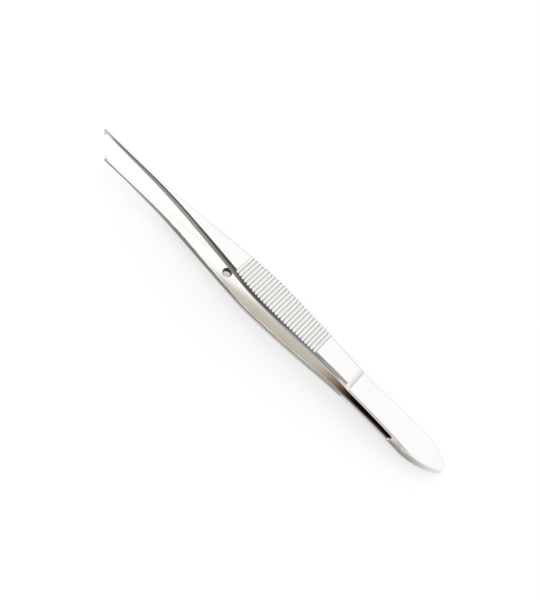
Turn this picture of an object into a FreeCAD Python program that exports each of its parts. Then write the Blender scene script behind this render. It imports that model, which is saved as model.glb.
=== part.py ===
import FreeCAD, Part
import Sketcher
import math
import os

# Iris tissue forceps, about four inches long, in stainless steel.
#
# Two sprung arms are welded together at the tail and bow apart towards the toothed tips.
# An arm is a thin strip behind, then a raised grip with cross grooves, then a slender nose.
# Both arms are built the same way up, in millimetres, from the middle plane between them:
# X runs from the tail end to the tips, Y across the arm and Z outwards.
# The lower arm is then turned over, and the whole is laid on the grooved flat of that arm.

os.makedirs("parts", exist_ok=True)
doc = FreeCAD.newDocument("tissue_forceps")
sheet = doc.addObject("Spreadsheet::Sheet", "Sizes")
Vector = FreeCAD.Vector

SIZES = {
    # Lengths along the side view, from the tail end to the tips
    "tail_round_length": 9.0,
    "weld_land": 3.4,
    "spring_length": 7.6,
    "bend_length": 5.6,
    "step_length": 1.3,
    "grip_length": 51.1,
    "nose_length": 24.0,
    # Heights above the middle plane, and thicknesses
    "tail_end_height": 1.3,
    "tail_height": 1.95,
    "slot_half_height": 1.12,
    "bend_half_height": 1.33,
    "strip_thickness": 0.95,
    "grip_thickness": 2.0,
    "tip_thickness": 1.0,
    "tip_side_height": 0.25,
    "arch_height": 6.23,
    # Radii of the side view
    "tail_round_radius": 105.0,
    "slot_end_radius": 0.5,
    "step_round_radius": 2.2,
    "spring_bend_radius": 104.0,
    "arch_radius": 530.0,
    # Where the outline changes, as shares of the grip or the nose
    "flank_share": 0.139,
    "belly_share": 0.472,
    "shoulder_share": 0.599,
    "taper_end_share": 0.922,
    "blade_share": 0.5,
    # Half widths seen from above
    "tail_flare_length": 8.6,
    "tail_end_half_width": 0.8,
    "tail_half_width": 3.25,
    "waist_half_width": 2.71,
    "flank_half_width": 2.9,
    "belly_half_width": 3.38,
    "shoulder_half_width": 3.04,
    "taper_end_half_width": 1.28,
    "blade_half_width": 0.46,
    "tip_half_width": 0.4,
    # Radii of the outline
    "tail_flare_radius": 16.6,
    "spring_side_radius": 256.0,
    "flank_radius": 142.0,
    "belly_radius": 301.0,
    "shoulder_radius": 60.0,
    "blade_radius": 150.0,
    # Lean of the sides of the grip and nose, and of the bevel on their edges, in degrees
    "side_lean": 10.0,
    "bevel_lean": 45.0,
    "grip_bevel": 0.45,
    "tip_bevel": 0.1,
    # Cross grooves on a flat of the grip
    "flat_share": 0.411,
    "flat_margin": 0.5,
    "groove_count": 28,
    "groove_pitch": 0.852,
    "groove_depth": 0.28,
    "groove_ridge": 0.05,
    # Guide pin of the upper arm and its hole in the lower one
    "guide_share": 0.699,
    "guide_side": -0.3,
    "pin_diameter": 1.5,
    "pin_seat_depth": 1.2,
    "pin_reach": 2.6,
    "pin_chamfer": 0.3,
    "guide_clearance": 0.45,
    "hole_chamfer": 0.2,
    # Teeth at the tips
    "tooth_height": 0.95,
    "tooth_length": 0.7,
    "tooth_width": 0.26,
    "tooth_point": 0.06,
    "tooth_pitch": 0.52,
    "tooth_root": 0.1,
    # Softened outer edges of the tail and spring
    "outer_edge_radius": 0.4,
}

for row, (alias, amount) in enumerate(SIZES.items(), start=1):
    sheet.set(f"A{row}", alias)
    sheet.set(f"B{row}", str(amount))
    sheet.setAlias(f"B{row}", alias)
doc.recompute()


def cell(alias):
    return f"Sizes.{alias}"


def value(expression):
    return float(sheet.evalExpression(str(expression)))


def total(*terms):
    return "(" + " + ".join(str(term) for term in terms) + ")"


# Stations along the instrument
TAIL_ROUND_END = cell("tail_round_length")
SLOT_START = total(TAIL_ROUND_END, cell("weld_land"))
BEND_START = total(SLOT_START, cell("spring_length"))
STEP_FOOT = total(BEND_START, cell("bend_length"))
STEP_TOP = total(STEP_FOOT, cell("step_length"))
ARCH_TOP = total(STEP_TOP, cell("grip_length"))
TIP_END = total(ARCH_TOP, cell("nose_length"))


def along_grip(share):
    return total(STEP_TOP, f"{cell(share)} * {cell('grip_length')}")


FLANK = along_grip("flank_share")
BELLY = along_grip("belly_share")
SHOULDER = along_grip("shoulder_share")
TAPER_END = along_grip("taper_end_share")
GUIDE = along_grip("guide_share")
BLADE = total(ARCH_TOP, f"{cell('blade_share')} * {cell('nose_length')}")

# The grooved flat of the grip is a little longer than the rows of grooves
FLAT_CENTRE = along_grip("flat_share")
FLAT_HALF = f"({cell('groove_count')} * {cell('groove_pitch')} / 2 + {cell('flat_margin')})"
FLAT_START = f"({FLAT_CENTRE} - {FLAT_HALF})"
FLAT_END = f"({FLAT_CENTRE} + {FLAT_HALF})"

# The outer and inner faces of the grip are arcs about one centre, apart from the flat
OUTER_RADIUS = cell("arch_radius")
INNER_RADIUS = f"({OUTER_RADIUS} - {cell('grip_thickness')})"
ARCH_CENTRE_HEIGHT = f"({cell('arch_height')} - {OUTER_RADIUS})"
INNER_ARCH_TOP = f"({cell('arch_height')} - {cell('grip_thickness')})"
TIP_INNER = f"({cell('arch_height')} - {cell('tip_thickness')})"

# Room left around the arm by the cuts, and above it by the plane of the leaning sides
MARGIN = 6.0
HEADROOM = 0.06
STEP_RUNOUT = 0.6
CREST_PLANE = f"({cell('arch_height')} + {HEADROOM})"


def arch_height_at(radius, station):
    run = f"({ARCH_TOP} - {station})"
    return f"({ARCH_CENTRE_HEIGHT} + sqrt({radius} * {radius} - {run} * {run}))"


def flat_end_heights():
    return arch_height_at(OUTER_RADIUS, FLAT_START), arch_height_at(OUTER_RADIUS, FLAT_END)


def bend_height_at_foot():
    # Height of the inner face under the foot of the step, on the arc of the bend
    rise = f"({arch_height_at(INNER_RADIUS, STEP_TOP)} - {cell('bend_half_height')})"
    share = f"{cell('bend_length')} / ({cell('bend_length')} + {cell('step_length')})"
    sag = f"{cell('bend_length')} * {cell('step_length')} / (2 * {cell('spring_bend_radius')})"
    return f"({cell('bend_half_height')} + {rise} * {share} - {sag})"


# Sketch outlines are rows of (x, y) corners. A corner may add (radius, bulge) for an arc to
# the next corner, which bows to the left of the way there (bulge 1) or to the right (-1).


def arc_between(start, end, radius, bulge):
    chord = end - start
    sag = radius - math.sqrt(radius * radius - chord.Length * chord.Length / 4)
    left = Vector(-chord.y, chord.x, 0).normalize()
    return Part.Arc(start, (start + end) * 0.5 + left * (bulge * sag), end)


def bind(sketch, kind, places, expression):
    index = sketch.addConstraint(Sketcher.Constraint(kind, *places, value(expression)))
    sketch.setExpression(f"Constraints[{index}]", expression)


def draw_loop(sketch, corners):
    points = [Vector(value(corner[0]), value(corner[1]), 0) for corner in corners]
    edges = []
    for number, corner in enumerate(corners):
        start = points[number]
        end = points[(number + 1) % len(points)]
        curved = len(corner) > 2
        if curved:
            shape = arc_between(start, end, value(corner[2]), corner[3])
        else:
            shape = Part.LineSegment(start, end)
        edge = sketch.addGeometry(shape, False)
        first = 1 if sketch.getPoint(edge, 1).distanceToPoint(start) < 1e-6 else 2
        edges.append((edge, first, 3 - first))
        bind(sketch, "DistanceX", (-1, 1, edge, first), corner[0])
        bind(sketch, "DistanceY", (-1, 1, edge, first), corner[1])
        if curved:
            bind(sketch, "Radius", (edge,), corner[2])
    for number, (edge, first, last) in enumerate(edges):
        following, start_of_following, _ = edges[(number + 1) % len(edges)]
        joint = Sketcher.Constraint("Coincident", edge, last, following, start_of_following)
        sketch.addConstraint(joint)


def both_sides(half):
    # Closes an outline that is the same on both sides of the X axis
    far = []
    for number in reversed(range(len(half))):
        edge = half[number - 1][2:] if number else ()
        far.append((half[number][0], f"-({half[number][1]})", *edge))
    return half + far


def frame_around(sketch):
    start = f"-{MARGIN}"
    end = total(TIP_END, MARGIN)
    side = total(cell("belly_half_width"), cell("tail_half_width"), MARGIN)
    draw_loop(sketch, [(start, f"-{side}"), (end, f"-{side}"), (end, side), (start, side)])


def new_body(label):
    body = doc.addObject("PartDesign::Body", label)
    body.Label = label
    return body


def origin_plane(body, role):
    return next(item for item in body.Origin.OriginFeatures if item.Role == role)


def new_sketch(body, name, role):
    sketch = body.newObject("Sketcher::SketchObject", name)
    sketch.AttachmentSupport = (origin_plane(body, role), [""])
    sketch.MapMode = "FlatFace"
    return sketch


def new_feature(body, kind, name, sketch, **settings):
    feature = body.newObject(f"PartDesign::{kind}", name)
    feature.Profile = sketch
    for setting, content in settings.items():
        setattr(feature, setting, content)
    return feature


def side_view():
    step_foot = total(bend_height_at_foot(), cell("strip_thickness"))
    outer_step = arch_height_at(OUTER_RADIUS, STEP_TOP)
    inner_step = arch_height_at(INNER_RADIUS, STEP_TOP)
    rear_height, front_height = flat_end_heights()
    bend_outer = total(cell("bend_half_height"), cell("strip_thickness"))
    bend_radius = cell("spring_bend_radius")
    corner = cell("slot_end_radius")
    return [
        ("0", "0"),
        ("0", cell("tail_end_height"), cell("tail_round_radius"), 1),
        (TAIL_ROUND_END, cell("tail_height")),
        (BEND_START, bend_outer, f"({bend_radius} - {cell('strip_thickness')})", -1),
        (STEP_FOOT, step_foot, cell("step_round_radius"), 1),
        (STEP_TOP, outer_step, OUTER_RADIUS, 1),
        (FLAT_START, rear_height),
        (FLAT_END, front_height, OUTER_RADIUS, 1),
        (ARCH_TOP, cell("arch_height")),
        (TIP_END, cell("arch_height")),
        (TIP_END, TIP_INNER),
        (ARCH_TOP, INNER_ARCH_TOP, INNER_RADIUS, -1),
        (STEP_TOP, inner_step, bend_radius, 1),
        (BEND_START, cell("bend_half_height")),
        (total(SLOT_START, corner), cell("slot_half_height"), corner, -1),
        (SLOT_START, f"({cell('slot_half_height')} - {corner})"),
        (SLOT_START, "0"),
    ]


def plan_outline():
    return both_sides([
        ("0", cell("tail_end_half_width"), cell("tail_flare_radius"), 1),
        (cell("tail_flare_length"), cell("tail_half_width"), cell("spring_side_radius"), -1),
        (STEP_FOOT, cell("waist_half_width"), cell("flank_radius"), -1),
        (FLANK, cell("flank_half_width"), cell("belly_radius"), 1),
        (BELLY, cell("belly_half_width"), cell("shoulder_radius"), 1),
        (SHOULDER, cell("shoulder_half_width")),
        (TAPER_END, cell("taper_end_half_width"), cell("blade_radius"), -1),
        (BLADE, cell("blade_half_width")),
        (TIP_END, cell("tip_half_width")),
    ])


def lean_slope(lean):
    return f"tan({cell(lean)} * 1deg)"


def upright_sides():
    # Where the upright sides end, as (station, half width, height, radius to the next, bulge).
    # They are as tall as the strip on the grip and become lower towards the tip.
    def on_grip(station, half_width, *arc):
        height = total(arch_height_at(INNER_RADIUS, station), cell("strip_thickness"))
        return (station, cell(half_width), height, *arc)

    strip_top = total(bend_height_at_foot(), cell("strip_thickness"))
    arch_end = total(INNER_ARCH_TOP, cell("strip_thickness"))
    tip_height = total(TIP_INNER, cell("tip_side_height"))
    blade_height = f"({arch_end} + ({tip_height} - {arch_end}) * {cell('blade_share')})"
    return [
        (STEP_FOOT, cell("waist_half_width"), strip_top, cell("flank_radius"), -1, INNER_RADIUS),
        on_grip(FLANK, "flank_half_width", cell("belly_radius"), 1, INNER_RADIUS),
        on_grip(BELLY, "belly_half_width", cell("shoulder_radius"), 1, INNER_RADIUS),
        on_grip(SHOULDER, "shoulder_half_width"),
        on_grip(TAPER_END, "taper_end_half_width", cell("blade_radius"), -1),
        (BLADE, cell("blade_half_width"), blade_height),
        (TIP_END, cell("tip_half_width"), tip_height),
    ]


def leaning_sides():
    # Where the leaning sides end below the bevel, which narrows from the shoulder to the tip
    lean = lean_slope("side_lean")
    feet = upright_sides()
    wide = cell("grip_bevel")
    narrow = cell("tip_bevel")
    middle = f"(({wide} + {narrow}) / 2)"
    rear_height, front_height = flat_end_heights()
    rise = f"(({front_height} - {rear_height}) / (2 * {FLAT_HALF}))"

    def below_bevel(number, outer_height, bevel, *arc):
        station, half_width, foot = feet[number][:3]
        height = f"({outer_height} - {bevel})"
        return (station, f"({half_width} - ({height} - {foot}) * {lean})", height, *arc)

    def on_flat(number, *arc):
        height = f"({rear_height} + ({feet[number][0]} - {FLAT_START}) * {rise})"
        return below_bevel(number, height, wide, *arc)

    step_height = f"({arch_height_at(OUTER_RADIUS, STEP_TOP)} - {wide})"
    step_side = f"({feet[0][1]} - ({step_height} - {feet[0][2]}) * {lean})"
    return [
        feet[0][:3],
        (STEP_TOP, step_side, step_height, cell("flank_radius"), -1, OUTER_RADIUS),
        below_bevel(1, arch_height_at(OUTER_RADIUS, FLANK), wide, cell("belly_radius"), 1),
        on_flat(2, cell("shoulder_radius"), 1),
        on_flat(3),
        below_bevel(4, arch_height_at(OUTER_RADIUS, TAPER_END), middle, cell("blade_radius"), -1),
        below_bevel(5, cell("arch_height"), f"(({middle} + {narrow}) / 2)"),
        below_bevel(6, cell("arch_height"), narrow),
    ]


def beside_slope(feet, lean, depth):
    # Outline of the room outside a sloping side, at a depth below a plane above the arm
    slope = lean_slope(lean)

    def crest(foot):
        station, half_width, height, *arc = foot
        offset = f"({half_width} - ({CREST_PLANE} - {depth} - {height}) * {slope})"
        if len(arc) == 3:
            # The rise of the arch along the side changes the curve of its crest
            radius, bulge, arch = arc
            arc = (f"(1 / (1 / {radius} + {bulge} * {slope} / {arch}))", bulge)
        return (station, offset, *arc)

    crests = [crest(foot) for foot in feet]
    first = crests[0][1]
    last = crests[-1][1]
    side = total(cell("belly_half_width"), cell("tail_half_width"), MARGIN)
    return [
        (f"-{MARGIN}", total(first, cell("tail_half_width"))),
        (f"({STEP_FOOT} - {STEP_RUNOUT})", total(first, STEP_RUNOUT)),
        *crests,
        (total(TIP_END, MARGIN), last),
        (total(TIP_END, MARGIN), side),
        (f"-{MARGIN}", side),
    ]


def outer_spring_edges(shape):
    # Long edges between the outer face of the tail and spring and their sides
    limit = value(STEP_FOOT) + 1e-3
    found = []
    for number, edge in enumerate(shape.Edges, start=1):
        box = edge.BoundBox
        low = value(cell("tail_end_height")) - 1e-3
        if box.XMax < limit and box.ZMin > low and box.XLength > 1e-3 and abs(box.YMax) > 1e-3:
            found.append(f"Edge{number}")
    return found


def build_arm(label):
    body = new_body(label)

    side = new_sketch(body, f"{label}_side_view", "XZ_Plane")
    draw_loop(side, side_view())
    pad = new_feature(body, "Pad", f"{label}_thickness", side, Midplane=True)
    pad.setExpression("Length", f"2 * {total(cell('belly_half_width'), cell('tail_half_width'))}")

    plan = new_sketch(body, f"{label}_outline", "XY_Plane")
    draw_loop(plan, plan_outline())
    frame_around(plan)
    cut = new_feature(body, "Pocket", f"{label}_outline_cut", plan, Type="ThroughAll", Midplane=True)
    doc.recompute()

    soft = body.newObject("PartDesign::Fillet", f"{label}_soft_edges")
    soft.Base = (cut, outer_spring_edges(cut.Shape))
    soft.setExpression("Radius", cell("outer_edge_radius"))

    cut_slopes(body, f"{label}_leaning_side", upright_sides(), "side_lean")
    cut_slopes(body, f"{label}_bevel", leaning_sides(), "bevel_lean")
    cut_grooves(body, label)
    return body


def cut_slopes(body, name, feet, lean):
    # Cuts the sloping side on one side of the arm and repeats it on the other
    crest = new_sketch(body, f"{name}_crest", "XY_Plane")
    crest.setExpression("AttachmentOffset.Base.z", CREST_PLANE)
    draw_loop(crest, beside_slope(feet, lean, "0"))
    foot = new_sketch(body, f"{name}_foot", "XY_Plane")
    draw_loop(foot, beside_slope(feet, lean, CREST_PLANE))
    cut = new_feature(body, "SubtractiveLoft", f"{name}_cut", crest, Sections=[foot], Ruled=True)
    both = body.newObject("PartDesign::Mirrored", f"{name}s")
    both.Originals = [cut]
    both.MirrorPlane = (origin_plane(body, "XZ_Plane"), [""])
    body.Tip = both


def cut_grooves(body, label):
    # One round-bottomed groove at the front of the flat, repeated towards its rear
    groove = new_sketch(body, f"{label}_groove", "XZ_Plane")
    rear_height, front_height = flat_end_heights()
    groove.setExpression("AttachmentOffset.Base.x", FLAT_CENTRE)
    groove.setExpression("AttachmentOffset.Base.y", f"({rear_height} + {front_height}) / 2")
    slope = f"atan(({front_height} - {rear_height}) / (2 * {FLAT_HALF}))"
    groove.setExpression("AttachmentOffset.Rotation.Angle", slope)
    front = f"(({cell('groove_count')} - 1) * {cell('groove_pitch')} / 2)"
    width = f"({cell('groove_pitch')} - {cell('groove_ridge')})"
    depth = cell("groove_depth")
    near_edge = f"({front} + {width} / 2)"
    far_edge = f"({front} - {width} / 2)"
    draw_loop(groove, [
        (far_edge, "0", f"({depth} / 2 + {width} * {width} / (8 * {depth}))", -1),
        (near_edge, "0"),
        (near_edge, depth),
        (far_edge, depth),
    ])
    single = new_feature(body, "Pocket", f"{label}_groove_cut", groove, Type="ThroughAll", Midplane=True)
    rows = body.newObject("PartDesign::LinearPattern", f"{label}_groove_rows")
    rows.Originals = [single]
    rows.Direction = (groove, ["H_Axis"])
    rows.Reversed = True
    rows.setExpression("Occurrences", cell("groove_count"))
    rows.setExpression("Length", f"2 * {front}")
    body.Tip = rows


def add_tooth(body, name, side):
    # A tooth rises steeply at the very tip and slopes down behind
    tooth = body.newObject("PartDesign::AdditiveWedge", name)
    length, width, point, root = (
        cell(f"tooth_{part}") for part in ("length", "width", "point", "root")
    )
    tooth.setExpression("Xmin", "0")
    tooth.setExpression("Xmax", length)
    tooth.setExpression("X2min", f"{length} - {point}")
    tooth.setExpression("X2max", length)
    tooth.setExpression("Ymin", "0")
    tooth.setExpression("Ymax", f"{root} + {cell('tooth_height')}")
    tooth.setExpression("Zmin", f"-{width} / 2")
    tooth.setExpression("Zmax", f"{width} / 2")
    tooth.setExpression("Z2min", f"-{point} / 2")
    tooth.setExpression("Z2max", f"{point} / 2")
    tooth.Placement = FreeCAD.Placement(Vector(), FreeCAD.Rotation(Vector(1, 0, 0), -90))
    tooth.setExpression("Placement.Base.x", f"{TIP_END} - {length}")
    tooth.setExpression("Placement.Base.y", side)
    tooth.setExpression("Placement.Base.z", f"{TIP_INNER} + {root}")
    body.Tip = tooth


def round_sketch(body, name, side, diameter):
    sketch = new_sketch(body, name, "XY_Plane")
    circle = sketch.addGeometry(Part.Circle(Vector(value(GUIDE), value(side), 0), Vector(0, 0, 1),
                                            value(diameter) / 2), False)
    bind(sketch, "DistanceX", (-1, 1, circle, 3), GUIDE)
    bind(sketch, "DistanceY", (-1, 1, circle, 3), side)
    bind(sketch, "Diameter", (circle,), diameter)
    return sketch


def round_edges(shape, side, height=None):
    # Circular edges about the guide, all of them or those at one height
    found = []
    for number, edge in enumerate(shape.Edges, start=1):
        centre = edge.BoundBox.Center
        near = abs(centre.x - value(GUIDE)) < 0.05 and abs(centre.y - value(side)) < 0.05
        if near and not edge.isClosed():
            near = False
        if near and (height is None or abs(centre.z - value(height)) < 0.2):
            found.append(f"Edge{number}")
    return found


# Upper arm: two teeth, and a seat for the guide pin
PIN_SIDE = cell("guide_side")
SEAT_TOP = total(arch_height_at(INNER_RADIUS, GUIDE), cell("pin_seat_depth"))

upper_arm = build_arm("upper_arm")
seat_sketch = round_sketch(upper_arm, "pin_seat_outline", PIN_SIDE, cell("pin_diameter"))
seat = new_feature(upper_arm, "Pocket", "pin_seat", seat_sketch, Type="Length", Reversed=True)
seat.setExpression("Length", SEAT_TOP)
add_tooth(upper_arm, "near_tooth", f"{cell('tooth_pitch')} / 2")
add_tooth(upper_arm, "far_tooth", f"-{cell('tooth_pitch')} / 2")

# Lower arm: one tooth, and a hole that the pin enters when the arms are pressed together.
# This arm is turned over about its length, so its hole lies on the other side.
HOLE_SIDE = f"(-{cell('guide_side')})"
HOLE_DIAMETER = total(cell("pin_diameter"), cell("guide_clearance"))

lower_arm = build_arm("lower_arm")
hole_sketch = round_sketch(lower_arm, "guide_hole_outline", HOLE_SIDE, HOLE_DIAMETER)
hole = new_feature(lower_arm, "Pocket", "guide_hole", hole_sketch, Type="ThroughAll", Midplane=True)
doc.recompute()
hole_rim = lower_arm.newObject("PartDesign::Chamfer", "guide_hole_rim")
hole_rim.Base = (hole, round_edges(hole.Shape, HOLE_SIDE))
hole_rim.setExpression("Size", cell("hole_chamfer"))
lower_arm.Tip = hole_rim
add_tooth(lower_arm, "middle_tooth", "0")

# Guide pin, from the bottom of its seat to its chamfered free end
guide_pin = new_body("guide_pin")
pin_sketch = round_sketch(guide_pin, "pin_outline", PIN_SIDE, cell("pin_diameter"))
pin_sketch.setExpression("AttachmentOffset.Base.z", SEAT_TOP)
pin = new_feature(guide_pin, "Pad", "pin_shank", pin_sketch, Reversed=True)
pin.setExpression("Length", total(cell("pin_seat_depth"), cell("pin_reach")))
doc.recompute()
pin_end = guide_pin.newObject("PartDesign::Chamfer", "pin_end")
free_end = f"({SEAT_TOP} - {cell('pin_seat_depth')} - {cell('pin_reach')})"
pin_end.Base = (pin, round_edges(pin.Shape, PIN_SIDE, free_end))
pin_end.setExpression("Size", cell("pin_chamfer"))
doc.recompute()

# The instrument lies on the grooved flat of its lower arm
rear_height, front_height = flat_end_heights()
slope = (value(front_height) - value(rear_height)) / (2 * value(FLAT_HALF))
lying = FreeCAD.Rotation(Vector(0, 1, 0), -math.degrees(math.atan(slope)))
turned_over = FreeCAD.Rotation(Vector(1, 0, 0), 180)
turns = {upper_arm: FreeCAD.Rotation(), lower_arm: turned_over, guide_pin: FreeCAD.Rotation()}
floor = lying.multVec(Vector(value(FLAT_START), 0, -value(rear_height))).z

boxes = []
for body, turn in turns.items():
    body.Placement = FreeCAD.Placement(Vector(), lying.multiply(turn))
    boxes.append(body.Shape.optimalBoundingBox(False))
middle = (min(box.XMin for box in boxes) + max(box.XMax for box in boxes)) / 2
for body in turns:
    body.Placement.Base = Vector(-middle, 0, -floor)
doc.recompute()

for item in doc.Objects:
    if "Invalid" in item.State or "Error" in item.State:
        raise RuntimeError(f"{item.Name} did not compute: {item.State}")
for body in turns:
    if body.Shape.isNull() or not body.Shape.isValid() or len(body.Shape.Solids) != 1:
        raise RuntimeError(f"{body.Label} is not one sound solid")
    body.Shape.exportStep(f"parts/{body.Label}.step")
    print(body.Label, "volume", round(body.Shape.Volume, 2))
print("turned by", lying.Angle, "moved by", -middle, -floor)
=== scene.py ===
import math

import bpy
from mathutils import Matrix, Vector

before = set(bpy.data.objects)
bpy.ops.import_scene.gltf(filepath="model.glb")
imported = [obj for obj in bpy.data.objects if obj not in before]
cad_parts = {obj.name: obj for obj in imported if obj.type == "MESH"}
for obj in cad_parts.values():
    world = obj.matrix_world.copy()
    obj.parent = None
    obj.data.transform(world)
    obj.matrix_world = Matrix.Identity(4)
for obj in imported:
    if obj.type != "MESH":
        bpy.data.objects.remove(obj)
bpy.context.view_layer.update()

MM = 0.001


# Camera. It looks down on the forceps from 25 degrees off the upright of its middle plane, and is
# turned so that the tips point to the upper left. Lengths are in the instrument's own frame: X from
# the tail end to the tips, Z from the lower to the upper arm. That frame lies turned by its pitch.

PITCH = math.radians(3.25639)
SHIFT = Vector((-51.05767, 0.0, 2.49878)) * MM
MIDDLE = Vector((51.0, 0.0, 0.0)) * MM
CAMERA_LEAN = math.radians(25.0)
CAMERA_SLEW = math.radians(-5.281)
CAMERA_ROLL = math.radians(44.069)
CAMERA_DISTANCE = 138.77 * MM
CAMERA_ASIDE = 0.039 * MM
CAMERA_BELOW = 0.722 * MM
SENSOR_WIDTH = 36.0
PICTURE_WIDTH = 540.0
FOCAL_PIXELS = 637.6
NEAREST_SEEN = 5 * MM
FARTHEST_SEEN = 20.0


def laid(vector):
    return Matrix.Rotation(-PITCH, 3, "Y") @ vector


def place_camera():
    back = Vector((
        math.sin(CAMERA_SLEW),
        math.sin(CAMERA_LEAN) * math.cos(CAMERA_SLEW),
        math.cos(CAMERA_LEAN) * math.cos(CAMERA_SLEW),
    ))
    across = (Vector((1, 0, 0)) - back * back.x).normalized()
    upwards = back.cross(across)
    spot = MIDDLE + back * CAMERA_DISTANCE - across * CAMERA_ASIDE - upwards * CAMERA_BELOW
    right = -across * math.cos(CAMERA_ROLL) - upwards * math.sin(CAMERA_ROLL)
    up = across * math.sin(CAMERA_ROLL) - upwards * math.cos(CAMERA_ROLL)
    axes = Matrix((laid(right), laid(up), laid(back))).transposed()
    data = bpy.data.cameras.new("camera")
    camera = bpy.data.objects.new("camera", data)
    bpy.context.scene.collection.objects.link(camera)
    camera.matrix_world = Matrix.Translation(laid(spot) + SHIFT) @ axes.to_4x4()
    data.sensor_fit = "HORIZONTAL"
    data.sensor_width = SENSOR_WIDTH
    data.lens = SENSOR_WIDTH * FOCAL_PIXELS / PICTURE_WIDTH
    data.clip_start = NEAREST_SEEN
    data.clip_end = FARTHEST_SEEN
    bpy.context.scene.camera = camera


place_camera()


# Parts of a material


def new_material(name):
    material = bpy.data.materials.new(name)
    material.use_nodes = True
    material.node_tree.nodes.clear()
    return material, material.node_tree


def add_node(tree, kind, **settings):
    node = tree.nodes.new(kind)
    for key, content in settings.items():
        if key in node.inputs:
            node.inputs[key].default_value = content
        else:
            setattr(node, key, content)
    return node


def feed(tree, socket, content):
    # The content is the output of another node, a colour or a number
    if isinstance(content, bpy.types.NodeSocket):
        tree.links.new(content, socket)
    elif isinstance(content, tuple):
        socket.default_value = (*content, 1)
    else:
        socket.default_value = content


def maths(tree, operation, *operands):
    node = add_node(tree, "ShaderNodeMath", operation=operation)
    for socket, content in zip(node.inputs, operands):
        feed(tree, socket, content)
    return node.outputs["Value"]


def band(tree, source, start, end, top=1.0):
    # 0 before the start, the top value past the end, soft in between
    share = add_node(tree, "ShaderNodeMapRange", interpolation_type="SMOOTHSTEP")
    share.inputs["From Min"].default_value = start
    share.inputs["From Max"].default_value = end
    share.inputs["To Max"].default_value = top
    tree.links.new(source, share.inputs["Value"])
    return share.outputs["Result"]


def mixed(tree, share, first, second):
    # Each of first and second is a colour or the output that gives one. The sockets for colours
    # are the seventh and eighth input and the third output.
    blend = add_node(tree, "ShaderNodeMix", data_type="RGBA")
    feed(tree, blend.inputs["Factor"], share)
    feed(tree, blend.inputs[6], first)
    feed(tree, blend.inputs[7], second)
    return blend.outputs[2]


def blended(tree, share, first, second):
    # The first shader where the share is 0, the second where it is 1
    blend = add_node(tree, "ShaderNodeMixShader")
    for socket, content in zip(blend.inputs, (share, first, second)):
        tree.links.new(content, socket)
    return blend.outputs["Shader"]


def split(tree, vector):
    parts = add_node(tree, "ShaderNodeSeparateXYZ")
    tree.links.new(vector, parts.inputs["Vector"])
    return parts.outputs


def show(tree, shader, kind="ShaderNodeOutputMaterial"):
    tree.links.new(shader, add_node(tree, kind).inputs["Surface"])


# Steel

ARM_TINT = (0.735, 0.710, 0.682)
ARM_ROUGHNESS = 0.20
PIN_TINT = (0.68, 0.65, 0.61)
PIN_ROUGHNESS = 0.22
# Inner faces: a lighter tint, which is painted light in the gap between the arms, and a duller
# roughness of their own
INNER_LIGHTENED_TINT = (0.77, 0.735, 0.68)
INNER_ROUGHNESS = 0.22
CLOUD_SHADE = 0.95
ROUGHNESS_SPREAD = 0.05
LINE_STRETCH = (0.04, 1.0, 1.0)

# Height of the normal at which a face begins to count as an inner face, and fully does
INNER_BAND = (0.5, 0.9)

# Painted shade on the inner faces towards the tail, where the arms close in: its brown and
# near-black tints, and where along X each begins and is full
GAP_BROWN_SHADE = (0.56, 0.45, 0.34)
GAP_BROWN_BAND = (-16 * MM, -25 * MM)
GAP_DARK_SHADE = (0.16, 0.13, 0.11)
GAP_DARK_BAND = (-22 * MM, -29 * MM)

# The guide hole, whose wall is painted near-black: painted shade for the dark inside of the hole
HOLE_CENTRE = (11.74 * MM, -0.3 * MM, 0.0)
HOLE_RADIUS = 0.975 * MM
HOLE_BAND = (HOLE_RADIUS + 0.12 * MM, HOLE_RADIUS + 0.06 * MM)
HOLE_SHADE = (0.03, 0.03, 0.03)


def inside_hole(tree, spot):
    # 1 on the wall of the guide hole, 0 elsewhere on the arm that has it
    flat = add_node(tree, "ShaderNodeCombineXYZ")
    away = add_node(tree, "ShaderNodeVectorMath", operation="DISTANCE")
    away.inputs[1].default_value = HOLE_CENTRE
    for axis in ("X", "Y"):
        tree.links.new(spot[axis], flat.inputs[axis])
    tree.links.new(flat.outputs["Vector"], away.inputs[0])
    return band(tree, away.outputs["Value"], *HOLE_BAND)


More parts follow.
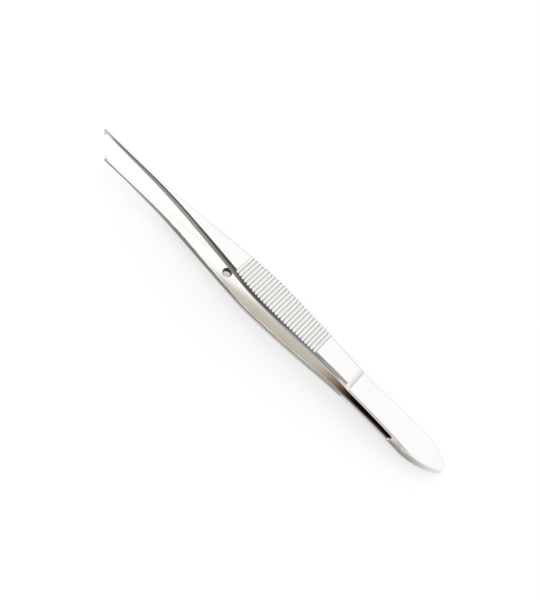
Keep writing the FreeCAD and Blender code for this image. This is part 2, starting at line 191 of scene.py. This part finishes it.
def steel(name, tint, roughness, inward, shades_hole=False):
    # Satin stainless steel with faint grinding lines along the arm. Inward is the side, up or down,
    # on which the inner face lies. That face is duller, has a lighter tint as painted light in the
    # gap between the arms, and painted shade, brown then near-black, towards the tail.
    material, tree = new_material(name)
    link = tree.links.new
    shader = add_node(tree, "ShaderNodeBsdfPrincipled", Metallic=1.0)
    place = add_node(tree, "ShaderNodeTexCoord").outputs
    stretch = add_node(tree, "ShaderNodeMapping")
    stretch.inputs["Scale"].default_value = LINE_STRETCH
    lines = add_node(tree, "ShaderNodeTexNoise", Scale=9000.0, Detail=3.0, Roughness=0.6)
    cloud = add_node(tree, "ShaderNodeTexNoise", Scale=160.0, Detail=2.0)
    bump = add_node(tree, "ShaderNodeBump", Strength=0.1, Distance=0.02 * MM)
    link(place["Object"], stretch.inputs["Vector"])
    link(stretch.outputs["Vector"], lines.inputs["Vector"])
    link(place["Object"], cloud.inputs["Vector"])
    link(lines.outputs["Fac"], bump.inputs["Height"])
    link(bump.outputs["Normal"], shader.inputs["Normal"])

    spot = split(tree, place["Object"])
    facing = split(tree, place["Normal"])
    inner = band(tree, facing["Z"], INNER_BAND[0] * inward, INNER_BAND[1] * inward)
    # Painted shade between the arms: brown, then near-black, on the inner faces towards the tail
    gap_brown = maths(tree, "MULTIPLY", inner, band(tree, spot["X"], *GAP_BROWN_BAND))
    gap_dark = maths(tree, "MULTIPLY", inner, band(tree, spot["X"], *GAP_DARK_BAND))
    colour = mixed(tree, cloud.outputs["Fac"], tuple(part * CLOUD_SHADE for part in tint), tint)
    # Inner faces get the lighter tint, painted light in the gap between the arms
    colour = mixed(tree, inner, colour, INNER_LIGHTENED_TINT)
    colour = mixed(tree, gap_brown, colour, GAP_BROWN_SHADE)
    colour = mixed(tree, gap_dark, colour, GAP_DARK_SHADE)
    if shades_hole:
        # The wall of the guide hole gets painted shade
        colour = mixed(tree, inside_hole(tree, spot), colour, HOLE_SHADE)
    link(colour, shader.inputs["Base Color"])

    rough = add_node(tree, "ShaderNodeMapRange")
    rough.inputs["To Min"].default_value = roughness - ROUGHNESS_SPREAD
    rough.inputs["To Max"].default_value = roughness + ROUGHNESS_SPREAD
    link(lines.outputs["Fac"], rough.inputs["Value"])
    duller = INNER_ROUGHNESS - roughness
    dullness = maths(tree, "MULTIPLY_ADD", inner, duller, rough.outputs["Result"])
    link(dullness, shader.inputs["Roughness"])
    show(tree, shader.outputs["BSDF"])
    return material


def dress(node, material):
    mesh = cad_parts[node].data
    mesh.materials.clear()
    mesh.materials.append(material)


dress("upper_arm", steel("upper_steel", ARM_TINT, ARM_ROUGHNESS, -1))
dress("lower_arm", steel("lower_steel", ARM_TINT, ARM_ROUGHNESS, 1, shades_hole=True))
dress("guide_pin", steel("pin_steel", PIN_TINT, PIN_ROUGHNESS, 1))


# Floor: white paper. Camera and steel see part of it as plain white, which keeps its shadow light.

FLOOR_SIZE = 6.0
PAPER_TINT = (0.98, 0.955, 0.925, 1)
PLAIN_SHARE = 0.55


def place_floor():
    bpy.ops.mesh.primitive_plane_add(size=FLOOR_SIZE, location=(0, 0, 0))
    floor = bpy.context.object
    floor.name = "floor"
    material, tree = new_material("floor")
    paper = add_node(tree, "ShaderNodeBsdfDiffuse", Color=PAPER_TINT)
    white = add_node(tree, "ShaderNodeEmission", Strength=1.0)
    ray = add_node(tree, "ShaderNodeLightPath").outputs
    seen = ray["Is Camera Ray"]
    for kind in ("Is Glossy Ray", "Is Transmission Ray"):
        seen = maths(tree, "MAXIMUM", seen, ray[kind])
    share = maths(tree, "MULTIPLY", seen, PLAIN_SHARE)
    show(tree, blended(tree, share, paper.outputs["BSDF"], white.outputs["Emission"]))
    floor.data.materials.append(material)


# Surroundings: a white tent round the forceps with soft patches. The camera sees it as plain white.

TENT_TINT = (0.945, 0.97, 1.0, 1)
TENT_STRENGTH = 1.34
PATCHES = [
    # Direction, radius of the middle and of the edge in degrees, and shade: below 0 it is lighter
    ((0.25, 0.88, 0.47), 18, 42, 0.92),
    ((1.0, -0.3, 0.3), 15, 38, 0.9),
    ((-1.0, -0.3, 0.3), 15, 38, 0.05),
    ((0.1, -0.45, 0.89), 20, 50, -0.08),
]


def patch(tree, direction, middle, edge, shade):
    # The shade in the middle of the patch, 0 beyond its edge
    place = add_node(tree, "ShaderNodeTexCoord")
    towards = add_node(tree, "ShaderNodeVectorMath", operation="DOT_PRODUCT")
    towards.inputs[1].default_value = Vector(direction).normalized()
    tree.links.new(place.outputs["Generated"], towards.inputs[0])
    outside, inside = (math.cos(math.radians(angle)) for angle in (edge, middle))
    return band(tree, towards.outputs["Value"], outside, inside, shade)


def surroundings():
    world = bpy.data.worlds.new("studio")
    bpy.context.scene.world = world
    world.use_nodes = True
    tree = world.node_tree
    tree.nodes.clear()
    strength = TENT_STRENGTH
    for content in PATCHES:
        left = maths(tree, "SUBTRACT", 1.0, patch(tree, *content))
        strength = maths(tree, "MULTIPLY", strength, left)
    tent = add_node(tree, "ShaderNodeBackground", Color=TENT_TINT)
    tree.links.new(strength, tent.inputs["Strength"])
    plain = add_node(tree, "ShaderNodeBackground", Color=(1, 1, 1, 1), Strength=1.0)
    seen = add_node(tree, "ShaderNodeLightPath").outputs["Is Camera Ray"]
    both = blended(tree, seen, tent.outputs["Background"], plain.outputs["Background"])
    show(tree, both, "ShaderNodeOutputWorld")


# Cards that lie on the floor beside the forceps and paint reflections: they are seen only in the
# steel and cast no shadow, and its near sides take their tones from them as painted shade and
# light. A card has an outline and tones along X, both in mm.

CARD_STRENGTH = 1.3
CARD_HEIGHT = 0.2 * MM
REFLECTION_CARDS = {
    "beside_lower_arm": (
        [(-50, -2), (50, -2), (50, 3.9), (9, 3.9), (7, 4.6), (-38, 4.3), (-41, 4.7), (-50, 4.7)],
        [
            (-50, (0.69, 0.69, 0.69)),
            (-45, (0.35, 0.34, 0.34)),
            (-38, (0.25, 0.24, 0.24)),
            (-28, (0.27, 0.26, 0.26)),
            (-12, (0.43, 0.44, 0.45)),
            (0, (0.54, 0.54, 0.54)),
            (8, (0.43, 0.43, 0.42)),
            (16, (0.20, 0.20, 0.18)),
            (28, (0.23, 0.22, 0.19)),
            (38, (0.51, 0.50, 0.48)),
            (46, (1.0, 1.0, 1.0)),
        ],
    ),
    "beside_upper_spring": (
        [(-42, 4.6), (-25, 4.6), (-25, 7), (-42, 7)],
        [
            (-42, (0.46, 0.46, 0.46)),
            (-38, (1.0, 1.0, 1.0)),
            (-25, (1.0, 1.0, 1.0)),
        ],
    ),
    "beside_upper_arm": (
        [(-24, 7), (6, 7), (9, 3.9), (58, 3.9), (58, 45), (-24, 45)],
        [
            (-24, (0.29, 0.32, 0.35)),
            (-8, (0.28, 0.30, 0.32)),
            (-3, (0.13, 0.15, 0.16)),
            (4, (0.08, 0.08, 0.08)),
            (9, (0.11, 0.11, 0.10)),
            (14, (0.26, 0.26, 0.24)),
            (30, (0.35, 0.35, 0.32)),
            (58, (0.29, 0.29, 0.28)),
        ],
    ),
}


def reflection_card_material(name, tones):
    material, tree = new_material(name)
    first = tones[0][0]
    last = tones[-1][0]
    place = add_node(tree, "ShaderNodeTexCoord")
    along = add_node(tree, "ShaderNodeMapRange")
    along.inputs["From Min"].default_value = first * MM
    along.inputs["From Max"].default_value = last * MM
    ramp = add_node(tree, "ShaderNodeValToRGB")
    stops = ramp.color_ramp.elements
    stops[0].color = (*tones[0][1], 1)
    stops[1].color = (*tones[-1][1], 1)
    for spot, tone in tones[1:-1]:
        stops.new((spot - first) / (last - first)).color = (*tone, 1)
    shader = add_node(tree, "ShaderNodeEmission", Strength=CARD_STRENGTH)
    tree.links.new(split(tree, place.outputs["Object"])["X"], along.inputs["Value"])
    tree.links.new(along.outputs["Result"], ramp.inputs["Fac"])
    tree.links.new(ramp.outputs["Color"], shader.inputs["Color"])
    show(tree, shader.outputs["Emission"])
    return material


def place_reflection_cards():
    for name, (outline, tones) in REFLECTION_CARDS.items():
        mesh = bpy.data.meshes.new(name)
        corners = [(x * MM, y * MM, CARD_HEIGHT) for x, y in outline]
        mesh.from_pydata(corners, [], [range(len(corners))])
        mesh.materials.append(reflection_card_material(name, tones))
        card = bpy.data.objects.new(name, mesh)
        bpy.context.scene.collection.objects.link(card)
        # Seen only in reflections: painted shade and light on the steel's near sides
        card.visible_camera = False
        card.visible_diffuse = False
        card.visible_shadow = False


place_floor()
place_reflection_cards()
surroundings()

bpy.context.scene.view_settings.view_transform = "Standard"
